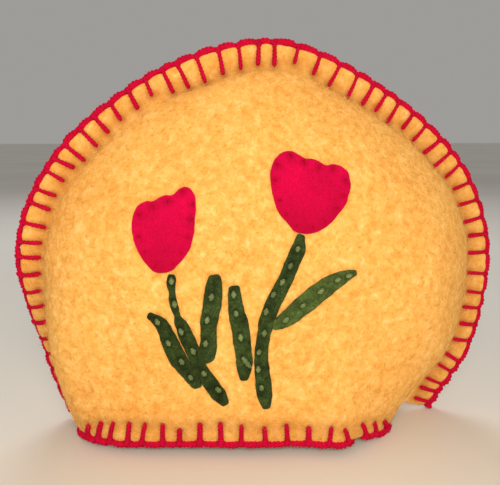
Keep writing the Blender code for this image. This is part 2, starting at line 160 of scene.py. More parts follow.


# %% [markdown]
# ## Felted wool, dyed yellow
# Wool felt is wetted and rubbed until its fibres lock, so it has no weave. What the eye sees is a matt,
# cloudy yellow: pale where fibres stand up, and ochre where they are pressed flat. Real fibre streaks are
# under a millimetre wide, and are drawn at 1.6 mm so that they show. An attribute named "pressed" paints
# shade on the felt where a stitch pulls it in, where it also stands for fibres pressed flat, and along the
# sewn border and round what is sewn on. The sheen stands for fibre ends that catch the light at the rim.

# %% Yellow felt
yellow_felt, shader = new_material("felted_wool_yellow", 0.95, 0.12, "#FFD98A")
clouds = noise(yellow_felt, 26 * MM, 3)
mottles = noise(yellow_felt, 4.5 * MM, 4, 0.6, distortion=0.4)
grain = noise(yellow_felt, 1.6 * MM, 3, 0.6, distortion=0.8)
depth = add(yellow_felt, "ShaderNodeAttribute", attribute_name="pressed").outputs["Fac"]
base = ramp(yellow_felt, mottles, [
    (0.28, "#D99A48"), (0.45, "#E7AD58"), (0.58, "#EEB968"), (0.72, "#F7CC86"),
])
patches = ramp(yellow_felt, clouds, [(0.32, "#F1CDA2"), (0.68, "#FFFFFF")])
base = mixed(yellow_felt, 0.32, base, patches, "MULTIPLY")
flecks = ramp(yellow_felt, grain, [(0.3, "#CBA066"), (0.5, "#FFFFFF"), (0.75, "#FFF8E6")])
base = mixed(yellow_felt, 0.45, base, flecks, "MULTIPLY")
# Painted shade: the "pressed" attribute mixes in ochre in the dents, in the sewn border's valley and round
# what is sewn on; in the dents it also stands for fibres pressed flat
base = mixed(yellow_felt, depth, base, linear("#A8682C"))
yellow_felt.node_tree.links.new(base, shader.inputs["Base Color"])
bumped(yellow_felt, shader, [(mottles, 0.9 * MM, 0.6), (grain, 0.5 * MM, 0.8)])

# %% [markdown]
# ## Crimson wool yarn and the dyed felts
# The yarn is plied wool, so its own fibres run round it in fine lines and its loft softens every edge.
# The flowers and leaves are thinner craft felt: the red is even in colour and the green blotched, and a
# fine nap shows as specks. The left stem and its outer leaf are a deeper green, and the right leaf a paler
# one.

# %% Yarn, red felt, green felt and thread
crimson_yarn, shader = new_material("wool_yarn_crimson", 0.9, 0.1, "#FF3050")
lines = noise(crimson_yarn, 0.7 * MM, 3, 0.6)
tone = noise(crimson_yarn, 9 * MM, 2)
base = ramp(crimson_yarn, lines, [(0.25, "#900028"), (0.5, "#C00335"), (0.78, "#DA0C45")])
uneven_dye = ramp(crimson_yarn, tone, [(0.3, "#C40E3C"), (0.7, "#FFFFFF")])
base = mixed(crimson_yarn, 0.3, base, uneven_dye, "MULTIPLY")
crimson_yarn.node_tree.links.new(base, shader.inputs["Base Color"])
bumped(crimson_yarn, shader, [(lines, 0.35 * MM, 0.8)])


def craft_felt(name, dark, middle, light, sheen, tint, blotched=0.5, blotch=7 * MM, pressed=None):
    """Thin craft felt: two depths of dye, a fine nap, and painted shade where the "pressed" attribute is
    set.
    """
    material, felt_shader = new_material(name, 0.92, sheen, tint)
    nap = noise(material, 0.9 * MM, 4, 0.65, distortion=0.8)
    blotches = noise(material, blotch, 3)
    sunk = add(material, "ShaderNodeAttribute", attribute_name="pressed").outputs["Fac"]
    colour = ramp(material, nap, [(0.28, dark), (0.5, middle), (0.75, light)])
    shade = ramp(material, blotches, [(0.32, "#747474"), (0.6, "#FFFFFF")])
    colour = mixed(material, blotched, colour, shade, "MULTIPLY")
    # Painted shade: the pressed colour, or else the dark one, where the attribute is set
    colour = mixed(material, sunk, colour, linear(pressed or dark))
    material.node_tree.links.new(colour, felt_shader.inputs["Base Color"])
    bumped(material, felt_shader, [(nap, 0.4 * MM, 0.7), (blotches, 1.0 * MM, 0.3)])
    return material


# The red felt's last colour, #8E0020, is painted shade, in the dimples and over the lower part of each tulip
red_felt = craft_felt(
    "craft_felt_red", "#AC0030", "#C80042", "#DE0352", 0.0, "#FF2058", 0.2, 16 * MM, "#8E0020"
)
green_felt = craft_felt("craft_felt_green", "#1C2612", "#334420", "#506230", 0.05, "#9FB070", 0.75)
deep_green_felt = craft_felt("craft_felt_green_deep", "#161F0E", "#2B3A19", "#475829", 0.05, "#9FB070", 0.75)
pale_green_felt = craft_felt("craft_felt_green_pale", "#2C3A1D", "#4A5D2C", "#687A40", 0.05, "#9FB070", 0.6)
green_thread = craft_felt("cotton_thread_light_green", "#56673A", "#6F8050", "#8C9C6A", 0.05, "#C8D0A8")
red_thread = craft_felt("cotton_thread_red", "#A80028", "#C00030", "#D4083C", 0.04, "#FF3058")

# %% [markdown]
# ## Where the blanket stitches go
# The seam runs round the cut edge of both panels. The same edge points that shaped the solids are laid out
# again here, and bent round to the back at the lower left.

# %% The cut edge, on the plane where the panels meet
EDGE = [  # x, z in mm
    (-129, 3.2), (-135, 18), (-140.5, 38), (-145, 64), (-147.5, 90), (-147.8, 113), (-143, 136),
    (-132, 159), (-115, 181), (-90, 202), (-62, 219.5), (-30, 231.5), (4, 236), (36, 227.5),
    (77, 205.7), (109, 181), (128.5, 158.5), (142, 130), (147.2, 100.5), (143.5, 67), (135.5, 39.5),
    (124, 22.5), (115.5, 11), (109, 3.2),
]
SEAM_STEPS = 464
LAP = 15 * MM            # sewn border
TURN = math.radians(50)  # of the lower left end, round to the back
TURN_LENGTH = 31 * MM
TURN_HIGH = 118 * MM
CENTRE = Vector((-0.55, -1.38, 0)) * MM


def smooth_step(t):
    t = np.clip(t, 0, 1)
    return t * t * (3 - 2 * t)


def lengths_along(points):
    return np.concatenate([[0], np.cumsum(np.linalg.norm(np.diff(points, axis=0), axis=1))])


def through(rows, share):
    """Points on a smooth curve through the rows, at these shares of its length."""
    knots = np.array(rows, float)
    run = np.vstack([2 * knots[0] - knots[1], knots, 2 * knots[-1] - knots[-2]])
    t = np.linspace(0, 1, 24, endpoint=False)[:, None]
    pieces = [
        0.5 * (2 * b + (c - a) * t + (2 * a - 5 * b + 4 * c - d) * t**2 + (3 * b - a - 3 * c + d) * t**3)
        for a, b, c, d in zip(run, run[1:], run[2:], run[3:])
    ]
    dense = np.vstack(pieces + [knots[-1:]])
    length = lengths_along(dense)
    return np.stack([np.interp(share * length[-1], length, column) for column in dense.T], axis=1)


def resampled(points, step):
    """Points at even steps along a line, and how far along it each is."""
    points = np.array(points)
    length = lengths_along(points)
    places = np.linspace(0, length[-1], max(4, int(length[-1] / step)))
    return np.stack([np.interp(places, length, column) for column in points.T], axis=1), places


def edge_and_inward(count):
    """Even points of the cut edge, and the way in from it."""
    edge = through(EDGE, np.linspace(0, 1, count + 1)) * MM
    along = np.gradient(edge, axis=0)
    along /= np.linalg.norm(along, axis=1)[:, None]
    inward = np.stack([along[:, 1], -along[:, 0]], axis=1)
    from_end = np.minimum(np.arange(count + 1), np.arange(count, -1, -1)) / count
    share = smooth_step(from_end / 0.07)[:, None]
    level = np.stack([-np.sign(edge[:, 0]), np.zeros(count + 1)], axis=1)
    inward = share * inward + (1 - share) * level
    return edge, inward / np.linalg.norm(inward, axis=1)[:, None]


fine_edge, fine_inward = edge_and_inward(400)
left_half = (fine_edge + fine_inward * LAP)[:200]


def turned_back(flat):
    """x, z points of the sewn plane, as places in the finished cosy."""
    x, z = flat.T
    start = np.interp(z, left_half[:, 1], left_half[:, 0]) + TURN_LENGTH
    run = np.maximum(start - x, 0)
    angle = np.maximum(TURN * (1 - np.clip(z / TURN_HIGH, 0, 1) ** 3) ** 1.5, 1e-6)
    theta = angle * np.minimum(run / TURN_LENGTH, 1)
    beyond = np.maximum(run - TURN_LENGTH, 0)
    back_x = start - np.sin(theta) * TURN_LENGTH / angle - beyond * np.cos(theta)
    back_y = (1 - np.cos(theta)) * TURN_LENGTH / angle + beyond * np.sin(theta)
    x = np.where(run > 0, back_x, x)
    y = np.where(run > 0, back_y, 0 * x)
    return np.stack([x, y, z], axis=1) - np.array(CENTRE)


def unit(vectors):
    return vectors / np.linalg.norm(vectors, axis=-1, keepdims=True)


def bump(points, centre, width):
    """1 at a centre, falling to 0 over this width."""
    return np.exp(-np.sum((points - np.array(centre) * MM) ** 2, axis=1) / width**2)


FLARE = 2.6              # mm that the lower left corner stands out
CORNER_FLARE = 0.9       # and more at its tip
SEAM_END_SUNK = 2.4      # mm that the seam sinks at its right end
HEM_LIFTED = 4.5         # mm that the hem lifts beside it


def flared(points):
    """The lower left corner flares out; at the right the seam's end sinks, and the hem beside it lifts."""
    x, _, z = points.T
    flare = FLARE * (1 - smooth_step((x + 118 * MM) / (40 * MM)))
    flare *= 1 - smooth_step((z - 60 * MM) / (50 * MM))
    flare += CORNER_FLARE * bump(points, (-113, -2, 4), 13 * MM)
    sunk = SEAM_END_SUNK * bump(points, (109, 0, 3), 8 * MM)
    sunk -= HEM_LIFTED * bump(points, (87, 0, 2), 8 * MM)
    return points + (flare[:, None] * (-1, 0.17, 0) - sunk[:, None] * (0, 0, 1)) * MM


flat_edge, flat_inward = edge_and_inward(SEAM_STEPS)
seam_step = lengths_along(flat_edge)[-1] / SEAM_STEPS
seam_edge = flared(turned_back(flat_edge))
seam_inner = flared(turned_back(flat_edge + flat_inward * LAP))
seam_along = unit(np.gradient(seam_edge, axis=0))
seam_inward = unit(seam_inner - seam_edge)
seam_out = -seam_inward + seam_along * np.sum(seam_inward * seam_along, axis=1, keepdims=True)
seam_out = unit(seam_out)
seam_across = np.cross(seam_out, seam_along)
print("seam length", round(float(lengths_along(seam_edge)[-1]), 3), "m")


# %% [markdown]
# ## Felt panels
# Each solid is a coarse cage. A copy of it is merged, and its triangles are paired into quads again. One
# plain subdivision keeps its corners where they are, and two smoothing ones then round its edges off. The
# solid stays in the frame, hidden, for collision.


# %% Soften a copy of a solid
def cage_of(node, name):
    """A merged copy of a solid, in quads again."""
    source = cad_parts[node]
    copy = bpy.data.objects.new(name, source.data.copy())
    bpy.context.scene.collection.objects.link(copy)
    copy.data.transform(source.matrix_world)
    only(copy)
    bpy.ops.object.mode_set(mode="EDIT")
    bpy.ops.mesh.select_all(action="SELECT")
    bpy.ops.mesh.remove_doubles(threshold=0.02 * MM)
    bpy.ops.mesh.tris_convert_to_quads(face_threshold=math.pi, shape_threshold=math.pi)
    bpy.ops.object.mode_set(mode="OBJECT")
    quads = sum(len(face.vertices) == 4 for face in copy.data.polygons)
    print(name, "cage:", quads, "quads of", len(copy.data.polygons), "faces")
    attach(copy, "root")
    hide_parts(node)
    return copy


def soften(copy):
    only(copy)
    for kind, levels in (("SIMPLE", 1), ("CATMULL_CLARK", 2)):
        bpy.ops.object.modifier_add(type="SUBSURF")
        copy.modifiers[-1].subdivision_type = kind
        copy.modifiers[-1].levels = levels
        copy.modifiers[-1].render_levels = levels
        bpy.ops.object.modifier_apply(modifier=copy.modifiers[-1].name)
    bpy.ops.object.shade_smooth()


def points_of(piece):
    points = np.empty(len(piece.data.vertices) * 3)
    piece.data.vertices.foreach_get("co", points)
    return points.reshape(-1, 3)


def normals_of(piece):
    normals = np.empty(len(piece.data.vertices) * 3)
    piece.data.vertex_normals.foreach_get("vector", normals)
    return normals.reshape(-1, 3)


def move_to(piece, points):
    piece.data.vertices.foreach_set("co", points.ravel())
    piece.data.update()


def clouded(piece, size, depth):
    """Displaces a piece by a cloud pattern of this size and depth."""
    texture = bpy.data.textures.new(piece.name + "_clouds", type="CLOUDS")
    texture.noise_scale = size
    texture.noise_depth = 2
    only(piece)
    bpy.ops.object.modifier_add(type="DISPLACE")
    modifier = piece.modifiers[-1]
    modifier.texture = texture
    modifier.texture_coords = "LOCAL"
    modifier.strength = depth
    modifier.mid_level = 0.5
    bpy.ops.object.modifier_apply(modifier=modifier.name)
    bpy.data.textures.remove(texture)


def near(points):
    """A tree that finds the nearest of these points."""
    tree = KDTree(len(points))
    for k, p in enumerate(points):
        tree.insert(p, k)
    tree.balance()
    return tree


def surface_of(piece):
    return BVHTree.FromPolygons(points_of(piece).tolist(), [tuple(f.vertices) for f in piece.data.polygons])


HEM_STEP = 1.5 * MM


def hem_line(cage):
    """Middle of the rim that faces down, from left to right: its points are the rungs between its quads."""
    low = [f for f in cage.data.polygons if f.normal.z < -0.8 and f.center.z < 16 * MM]
    keys = [key for f in low for key in f.edge_keys]
    rungs = {key for key in keys if keys.count(key) == 2}
    points = points_of(cage)
    left = sorted(((points[a] + points[b]) / 2).tolist() for a, b in rungs)
    middles = [left.pop()]
    while left:
        nearest = min(left, key=lambda p: math.dist(p, middles[0]))
        left.remove(nearest)
        middles.insert(0, nearest)
    centres = sorted(tuple(f.center) for f in low)
    first = 2 * np.array(centres[0]) - middles[0]
    last = 2 * np.array(centres[-1]) - middles[-1]
    middles = np.vstack([first, middles, last])
    even = np.arange(0, lengths_along(middles)[-1], HEM_STEP)
    print(cage.name, "hem of", len(middles), "points, from", first.round(3), "to", last.round(3))
    return through(middles, even / even[-1])


SIDE_DRAWN = (-4.0, 0.6, 0)     # mm that the front's right side moves
CORNER_DRAWN = (-1.5, -3.0, 0)  # mm that the right corner of its hem moves


def drawn_in(points):
    """The front's right side slopes gently to the seam, and the right corner of its hem stands forward."""
    z = points[:, 2]
    away = np.array([seam_tree.find(p)[2] for p in points])
    share = smooth_step((away - 13 * MM) / (10 * MM)) * (1 - smooth_step((away - 45 * MM) / (45 * MM)))
    share *= 0.55 + 0.45 * smooth_step(z / (30 * MM))
    share *= (1 - smooth_step((z - 80 * MM) / (60 * MM))) * (points[:, 0] > 0)
    corner = bump(points, (70, -28, 4), 18 * MM)
    return points + (share[:, None] * SIDE_DRAWN + corner[:, None] * CORNER_DRAWN) * MM


front = cage_of("front_panel", "front_felt")
back = cage_of("back_panel", "back_felt")
seam_tree = near(seam_edge)
move_to(front, drawn_in(flared(points_of(front))))
move_to(back, flared(points_of(back)))
front_line = hem_line(front)
back_line = hem_line(back)
soften(front)
soften(back)
front_surface = surface_of(front)
back_surface = surface_of(back)

# %% [markdown]
# ## Arms of the stitches
# A blanket stitch shows as an arm from the edge to where the needle went through, on both sides of the
# felt. Each arm is found by feeling for the felt's surface along a line in from the edge. Hand sewing
# is uneven, so every arm has a place, a lean and a length of its own, some millimetres off the average.


# %% Feel for the felt along each arm
REACH = 14 * MM          # how far off the middle the feeling starts


def felt(surface, middle, direction, far=REACH):
    """Where the felt's outside is, coming in against this direction, or None."""
    return surface.ray_cast(Vector(middle + direction * far), Vector(-direction), 2 * far)[0]


def arm_on(surface, root, inward, direction, length, places):
    """Points on the felt from the edge inward, at these shares of the arm's length."""
    found = []
    for share in places:
        hit = felt(surface, root + inward * length * share, direction)
        if hit is not None:
            found.append(np.array(hit))
    return found


ARM_SHARES = np.linspace(0.08, 1, 8)
# Each arm's place along the edge, how far its tip leans on from there, and its length, in mm
SEAM_STITCHES = [
    (10.5, 0, 11), (23, 0.5, 11), (34.5, 1, 11), (45.5, 1.5, 12), (56.5, 1, 11), (68.3, 1, 12),
    (79, 1.5, 11.5), (89.6, 1, 10.5), (101.6, 0.5, 11), (113.1, 0.3, 11.5), (121.4, 1, 11.5),
    (133.1, 0.3, 12), (145.5, 0, 11), (153.8, 1.2, 11), (165.8, 0, 10.8), (174, 2, 11.2),
    (183.9, 0.2, 13), (196.3, 0, 12.5), (206.9, 0.2, 11), (218.8, -1, 10), (231.3, -1.5, 10.5),
    (242.8, -1.5, 9), (254, -0.2, 13), (263.3, 0.5, 14.5), (275.2, -0.2, 15.3), (288.7, -0.8, 13.5),
    (300.8, -1.2, 13), (312.8, -1.5, 12), (322.2, 0.4, 12.5), (336.8, 0, 9.5), (351, 0.2, 11.5),
    (364.6, -1, 14), (377.2, 0.7, 14.5), (388.9, -0.3, 13.5), (398.8, -0.3, 12.5), (408.5, 1, 14),
    (420.4, 0, 11), (431.8, -0.4, 12.5), (445.3, -2.4, 13.5), (456, -1, 15), (466, 1.2, 12.5),
    (480, -1.5, 11.5), (492.9, -2.3, 13.5), (504.9, -0.8, 13), (516.8, -1.7, 11.5), (528.8, -0.8, 14),
    (543.8, -0.5, 13), (557, -0.2, 11), (567.2, 0.9, 11.5), (579, 1.1, 10.5), (590.4, 2.2, 12),
    (606.5, -0.5, 11.5), (614.9, -1, 11), (625.4, -2.8, 12.5), (631.4, -2.8, 12), (638.6, -2, 11),
]


def at_place(rows, place):
    """A row's value between two of its points."""
    k = min(int(place), len(rows) - 2)
    return rows[k] + (rows[k + 1] - rows[k]) * (place - k)


seam_stitches = []
for place, lean, length in SEAM_STITCHES:
    at = place * MM / seam_step
    root = at_place(seam_edge, at)
    along = unit(at_place(seam_along, at))
    across = unit(at_place(seam_across, at))
    inward = unit(at_place(seam_inward, at) + along * lean / length)
    seam_stitches.append(dict(
        at=at, root=root, out=unit(at_place(seam_out, at)), across=across,
        thick=random.uniform(0.88, 1.15),
        front=arm_on(front_surface, root, inward, -across, length * MM, ARM_SHARES),
        back=arm_on(back_surface, root, inward, across, length * MM, ARM_SHARES),
    ))
print(len(seam_stitches), "seam stitches")

# %% [markdown]
# On the front hem the stitches are closer together at the left, where it turns the corner, and lean more
# at both ends. The back hem's stitches are even, and the last ones are left out: the felt is bare there.


# %% The hems and their stitches
def hem_stitches(line, surface, rows):
    """Stitches along a hem, each given by its place, its lean and its length, in mm."""
    stitches = []
    for place, lean, length in rows:
        at = place * MM / HEM_STEP
        k = int(np.clip(at, 1, len(line) - 2))
        along = unit((line[k + 1] - line[k - 1]) * (1, 1, 0))
        across = np.array([-along[1], along[0], 0])
        root = at_place(line, at)
        tip = np.array([0, 0, length]) + along * lean
        upward = unit(tip)
        length = np.linalg.norm(tip) * MM
        stitches.append(dict(
            at=at, root=root, out=np.array([0, 0, -1.0]), across=across,
            thick=random.uniform(0.9, 1.12),
            front=arm_on(surface, root, upward, -across, length, ARM_SHARES),
            back=arm_on(surface, root, upward, across, length, ARM_SHARES),
        ))
    return stitches


HEM_ARM = 13.0           # mm, from which the back hem's arms vary
FRONT_STITCHES = [
    (5, 0, 11), (15.5, 0, 11), (42.2, 5.2, 10), (50.2, 5.6, 13), (58, 5, 13.5),
    (69.4, 2.4, 13.3), (77.7, 3.1, 13.2), (89.8, 0.8, 12.4), (99.3, 0.5, 8.8), (111, 0.7, 12.9),
    (123.2, 0, 13.3), (134.5, 0.5, 12.1), (148.4, -0.7, 10.5), (160.9, -0.8, 11.9), (173.2, -0.1, 9.8),
    (185, 1, 10.1), (196.6, -2.8, 8.5), (212.6, -5.1, 9.5), (221.5, -3.2, 8.7), (233.9, -6.8, 7.4),
]
BACK_STITCHES = [
    (place, random.uniform(-1.2, 1.2), HEM_ARM + random.uniform(-2.6, 0.4))
    for place in np.arange(9, 222, 11.5)
]
front_stitches = hem_stitches(front_line, front_surface, FRONT_STITCHES)
back_stitches = hem_stitches(back_line, back_surface, BACK_STITCHES)
print(len(front_stitches), "and", len(back_stitches), "hem stitches")

# %% [markdown]
# ## Puffs between the stitches
# Yarn that is pulled tight bites into soft felt. So the felt sinks along every arm, most of all where the
# needle went in, and stands up in a little cushion between two arms. After that a slow, cloudy unevenness
# goes over the whole sheet, as hand felting leaves it.


# %% Press the stitches into the felt
DRAWN_UNDER = 1.2        # mm that a cut edge is drawn in under its cord, or up from it
DRAWN_TOGETHER = 1.0     # mm that the two panels' edges are drawn together


def pinched(piece, side, hem):
    """Draws both edges in under their cords, and the sewn one towards the other panel."""
    hem_tree = near(hem)
    points = points_of(piece)
    for k, p in enumerate(points):
        _, at, away = seam_tree.find(p)
        if away < 10 * MM:
            points[k] -= seam_out[at] * DRAWN_UNDER * MM * math.exp(-((away / (4.5 * MM)) ** 2))
            points[k] -= side * seam_across[at] * DRAWN_TOGETHER * MM * math.exp(-((away / (5 * MM)) ** 2))
        middle, _, away = hem_tree.find(p)
        if away < 8 * MM:
            share = math.exp(-((away / (3.5 * MM)) ** 2))
            inward = np.array(middle) - points[k]
            points[k] += (inward * (1, 1, 0) * 0.3 + (0, 0, DRAWN_UNDER * MM)) * share
    move_to(piece, points)


ARM_DENT = 0.7           # mm that the felt sinks along an arm
SEAM_DENT = 0.9          # mm more where a needle of the seam went in
HEM_DENT = 0.5           # and one of a hem
PUFF = 0.5               # mm that it stands up between two arms
APPLIED_DENT = 0.5       # mm that it sinks under what is sewn on
BETWEEN_TIPS = 0.35      # share of SEAM_DENT or HEM_DENT that the felt sinks between two tips
FULLY_PRESSED = 2.6      # mm of dent at which its colour is darkest
BORDER_SHADE = 0.38       # how much painted shade lies on the sewn border between the stitches


def pressed(piece, stitches, sides, depth, applied):
    """Sinks the felt along the arms of these stitches and under what is sewn on, and puffs it up between;
    paints shade where it sinks and along the border.
    """
    arm_tree = near([p for stitch in stitches for side in sides for p in stitch[side]])
    rows = [[stitch[side][-1] for stitch in stitches if len(stitch[side]) > 4] for side in sides]
    tip_tree = near([p for row in rows for p in row])
    trough = [resampled(row, 1.0 * MM)[0] for row in rows]
    trough_tree = near(np.vstack(trough))
    points = points_of(piece)
    from_arm = np.array([arm_tree.find(p)[2] for p in points])
    from_tip = np.array([tip_tree.find(p)[2] for p in points])
    from_trough = np.array([trough_tree.find(p)[2] for p in points])
    dent = ARM_DENT * np.exp(-((from_arm / (1.9 * MM)) ** 2))
    dent += depth * np.exp(-((from_tip / (3.2 * MM)) ** 2))
    dent += BETWEEN_TIPS * depth * np.exp(-((from_trough / (4.5 * MM)) ** 2))
    puff = PUFF * smooth_step(from_arm / (4.5 * MM)) * (1 - smooth_step((from_arm - 4 * MM) / (8 * MM)))
    if applied:
        from_applied = np.array([near_applied.find(p)[2] for p in points])
        dent += APPLIED_DENT * (1 - smooth_step((from_applied - 0.5 * MM) / (2 * MM)))
    kept = piece.data.attributes.get("pressed")
    if kept is None:
        kept = piece.data.attributes.new("pressed", "FLOAT", "POINT")
    before = np.empty(len(points), dtype=np.float32)
    kept.data.foreach_get("value", before)
    # Painted shade, deeper with the dent, and in the valley of the sewn border between the tips
    dent_and_shade = np.clip(dent / FULLY_PRESSED, 0, 1) + BORDER_SHADE * np.exp(-((from_trough / (8 * MM)) ** 2))
    kept.data.foreach_set("value", np.maximum(before, dent_and_shade).astype(np.float32))
    move_to(piece, points - normals_of(piece) * (dent - puff)[:, None] * MM)


applied_points = np.vstack([
    points_of(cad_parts[node]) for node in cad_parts
    if node.endswith(("tulip", "stem", "leaf"))
])
near_applied = near(applied_points)
pinched(front, -1, front_line)
pinched(back, 1, back_line)
pressed(front, seam_stitches, ["front"], SEAM_DENT, True)
pressed(front, front_stitches, ["front", "back"], HEM_DENT, False)
pressed(back, seam_stitches, ["back"], SEAM_DENT, False)
pressed(back, back_stitches, ["front", "back"], HEM_DENT, False)
for piece in (front, back):
    clouded(piece, 16 * MM, 0.7 * MM)
    clouded(piece, 4 * MM, 0.35 * MM)
    paint(piece, yellow_felt)
    print(piece.name, len(piece.data.polygons), "faces")
front_surface = surface_of(front)
back_surface = surface_of(back)

# %% [markdown]
# ## Yarn
# Plied yarn is three strands twisted together. A curve with a three-lobed outline swept along it gives
# that look when each point is tilted a little further than the last. All strands of one row of stitches
# become a single mesh.

# %% A strand's outline, and a way to lay strands
TWIST = 6.5 * MM         # length of one full turn of the ply
STRAND_STEP = 0.7 * MM


def ply_outline(lobes=3, points=12, dent=0.13):
    """A closed outline of unit radius with this many lobes."""
    data = bpy.data.curves.new("ply_outline", "CURVE")
    data.dimensions = "2D"
    spline = data.splines.new("POLY")
    spline.points.add(points - 1)
    spline.use_cyclic_u = True
    for k in range(points):
        angle = 2 * math.pi * k / points
        radius = 1 - dent + dent * math.cos(lobes * angle)
        spline.points[k].co = (radius * math.cos(angle), radius * math.sin(angle), 0, 1)
    outline = bpy.data.objects.new("ply_outline", data)
    bpy.context.scene.collection.objects.link(outline)
    return outline


def smoothed(points, rounds):
    points = np.array(points)
    for _ in range(rounds):
        points[1:-1] = (points[:-2] + 2 * points[1:-1] + points[2:]) / 4
    return points


def laid_strands(name, strands, material):
    """One mesh of twisted strands, each given as (points, radius for each point)."""
    outline = ply_outline()
    data = bpy.data.curves.new(name, "CURVE")
    data.dimensions = "3D"
    data.twist_mode = "MINIMUM"
    data.bevel_mode = "OBJECT"
    data.bevel_object = outline
    data.use_fill_caps = True
    for points, radii in strands:
        line, places = resampled(points, STRAND_STEP)
        share = places / places[-1]
        radius = np.interp(share, np.linspace(0, 1, len(radii)), radii)
        spline = data.splines.new("POLY")
        spline.points.add(len(line) - 1)
        spline.points.foreach_set("co", np.hstack([line, np.ones((len(line), 1))]).ravel())
        spline.points.foreach_set("radius", radius)
        spline.points.foreach_set("tilt", places / TWIST * 2 * math.pi)
    row = bpy.data.objects.new(name, data)
    bpy.context.scene.collection.objects.link(row)
    only(row)
    bpy.ops.object.convert(target="MESH")
    row = bpy.context.object
    bpy.data.objects.remove(outline)
    only(row)
    bpy.ops.object.mode_set(mode="EDIT")
    bpy.ops.mesh.select_all(action="SELECT")
    bpy.ops.mesh.normals_make_consistent(inside=False)
    bpy.ops.object.mode_set(mode="OBJECT")
    bpy.ops.object.shade_smooth()
    paint(row, material)
    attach(row, "root")
    print(name, len(row.data.polygons), "faces")
    return row


# %% [markdown]
# One stitch is laid in two parts. The cord runs along the edge, drawn in at each stitch and bowed out
# between two. An arm leaves the cord, is pulled thin over the felt's rounded edge, lies on the felt, and
# dives in where the needle went through. There is one on the front and one on the back. Near its right
# end the front hem's cord is tucked in under the felt for a centimetre.


# %% Lay the cord and the arms of one row
CORD_THINNEST = 0.76     # of the cord's radius, at a stitch
CORD_SWELL = 0.3         # and more between two
LIES_ABOVE = 0.55        # radii from the felt to the middle of an arm
DIVES = 1.9              # radii that its tip goes down
# An arm's radius from the cord to its tip, as shares of its yarn's
ARM_RADII = np.array([1.8, 1.35, 0.92, 0.88, 0.93, 0.98, 1.03, 1.05, 1.0, 0.85, 0.55])
HEM_ARM_RADII = np.array([1.75, 1.45, 1.18, 1.05, 1.0, 1.0, 1.0, 1.0, 0.95, 0.82, 0.55])


def arm_strands(stitch, radius, cord_out, surfaces, radii):
    """The arm on the front and the one on the back, each from the cord to where it dives in."""
    strands = []
    radius = radius * stitch["thick"]
    for side, sign in (("front", -1), ("back", 1)):
        direction = stitch["across"] * sign
        lying = []
        for place in stitch[side]:
            hit = felt(surfaces[side], place - direction * 2 * MM, direction, 6 * MM)
            base = place if hit is None else np.array(hit)
            lying.append(base + direction * radius * LIES_ABOVE)
        if len(lying) < 5:
            continue
        start = stitch["root"] + stitch["out"] * cord_out + direction * 0.5 * MM
        onward = unit(lying[-1] - lying[-2])
        end = lying[-1] + onward * 0.9 * MM - direction * radius * DIVES
        points = smoothed(resampled([start] + lying + [end], STRAND_STEP)[0], 2)
        strands.append((points, radii * radius))
    return strands


def cord_strand(line, outward, places, radius, bowed, start, end):
    """Along the edge: drawn in and thin at each stitch, bowed out between; radius has one for each point."""
    index = np.arange(start, end + 0.01, 0.25)
    count = np.arange(len(line))
    base = np.stack([np.interp(index, count, column) for column in line.T], axis=1)
    out = unit(np.stack([np.interp(index, count, column) for column in outward.T], axis=1))
    nearest = np.min(np.abs(index[:, None] - np.array(places)[None]), axis=1)
    pitch = np.median(np.diff(places))
    bow = 1 - np.exp(-((nearest / pitch / 0.17) ** 2))
    wander = 0.12 * MM * np.sin(index * 0.9) + 0.1 * MM * np.sin(index * 0.37 + 1)
    points = base + out * (bowed[0] + (bowed[1] - bowed[0]) * bow + wander)[:, None]
    radius = np.interp(index, count, radius)
    ends = np.minimum(np.arange(len(index)), np.arange(len(index))[::-1]) + 0.5
    return points, radius * (CORD_THINNEST + CORD_SWELL * bow) * np.sqrt(np.minimum(1, ends / 3))


LOWEST = 0.1 * MM        # nothing is nearer to the table


def flattened(yarn):
    """Yarn under the hem is pressed flat on the table."""
    points = points_of(yarn)
    print(yarn.name, "is pressed flat from", round(points[:, 2].min() / MM, 2), "mm up")
    points[:, 2] = np.maximum(points[:, 2], LOWEST)
    move_to(yarn, points)


SEAM_CORD = 2.2 * MM     # radius of the cord along the seam, where two passes of yarn lie together
HEM_CORD = 2.7 * MM      # and along a hem
SEAM_ARM_YARN = 1.4 * MM # radius of the seam's arms
HEM_ARM_YARN = 1.65 * MM # and of the hems'
# At these shares of its length the seam's cord is this thick: more along the top, and most at its right end
SEAM_SHARES = (0, 0.2, 0.3, 0.7, 0.8, 0.92, 0.95, 0.98, 1)
SEAM_THICKNESS = (0.9, 0.88, 1.08, 1.1, 0.98, 1.02, 1.4, 1.75, 1.6)

both = {"front": front_surface, "back": back_surface}
strands = []
for stitch in seam_stitches:
    strands += arm_strands(stitch, SEAM_ARM_YARN, 0.2 * MM, both, ARM_RADII)
places = [stitch["at"] for stitch in seam_stitches]
thickness = SEAM_CORD * np.interp(np.linspace(0, 1, SEAM_STEPS + 1), SEAM_SHARES, SEAM_THICKNESS)
# Near the lower left corner the cord hangs loose, so that it shows beside the felt
HANGS_OFF = (-1.8, 0, 0) # mm
loose = (1 - smooth_step((seam_edge[:, 2] - 38 * MM) / (18 * MM))) * (seam_edge[:, 0] < 0)
cord_line = seam_edge + loose[:, None] * HANGS_OFF * MM
strands.append(cord_strand(cord_line, seam_out, places, thickness, (-0.2 * MM, 0.9 * MM), 0.8, SEAM_STEPS))
seam_yarn = laid_strands("seam_yarn", strands, crimson_yarn)
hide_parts("seam_stitching")
flattened(seam_yarn)


# %% Lay the yarn of the hems
TUCKED_AT = 205 * MM     # along the front hem
TUCKED_LENGTH = 5 * MM   # to each side of there
TUCKED_IN = (0, 0.8, 2.2)  # mm, back and up
STARTS_BEFORE = 3        # steps along the hem before the first stitch
RUNS_ON = 6 * MM         # past the last one


